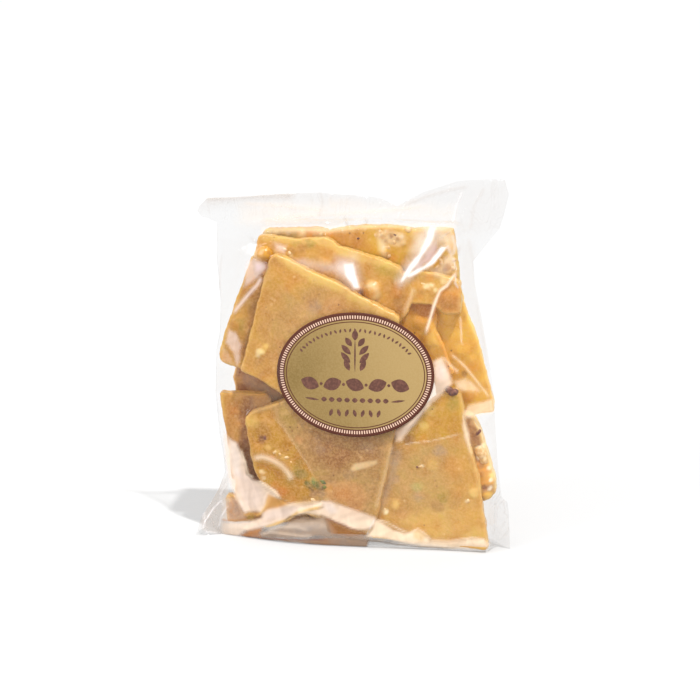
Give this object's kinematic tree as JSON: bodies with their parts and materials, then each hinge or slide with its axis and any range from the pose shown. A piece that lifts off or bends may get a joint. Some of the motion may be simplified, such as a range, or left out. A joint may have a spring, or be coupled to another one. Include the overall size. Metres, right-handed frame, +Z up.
{
  "type": "sealed clear bag of almond brittle",
  "caption": "Clear sealed bag filled with broken slabs of golden nut brittle, standing upright, with a flared top seal and an oval gold paper label on its front.",
  "frame": {"origin": "on the floor, at the middle of the bag's own box, where its flat base rests", "axes": "+Z up towards the top seal, -Y towards the side with the label, +X to the right as the label is seen"},
  "size_m": [0.1456, 0.0258, 0.1705],
  "materials": {
    "bag": "clear glossy film over amber brittle",
    "label": "satin gold paper with a brown border"
  },
  "bodies": {
    "root": {"bag": "bag", "label": "label"}
  },
  "joints": []
}
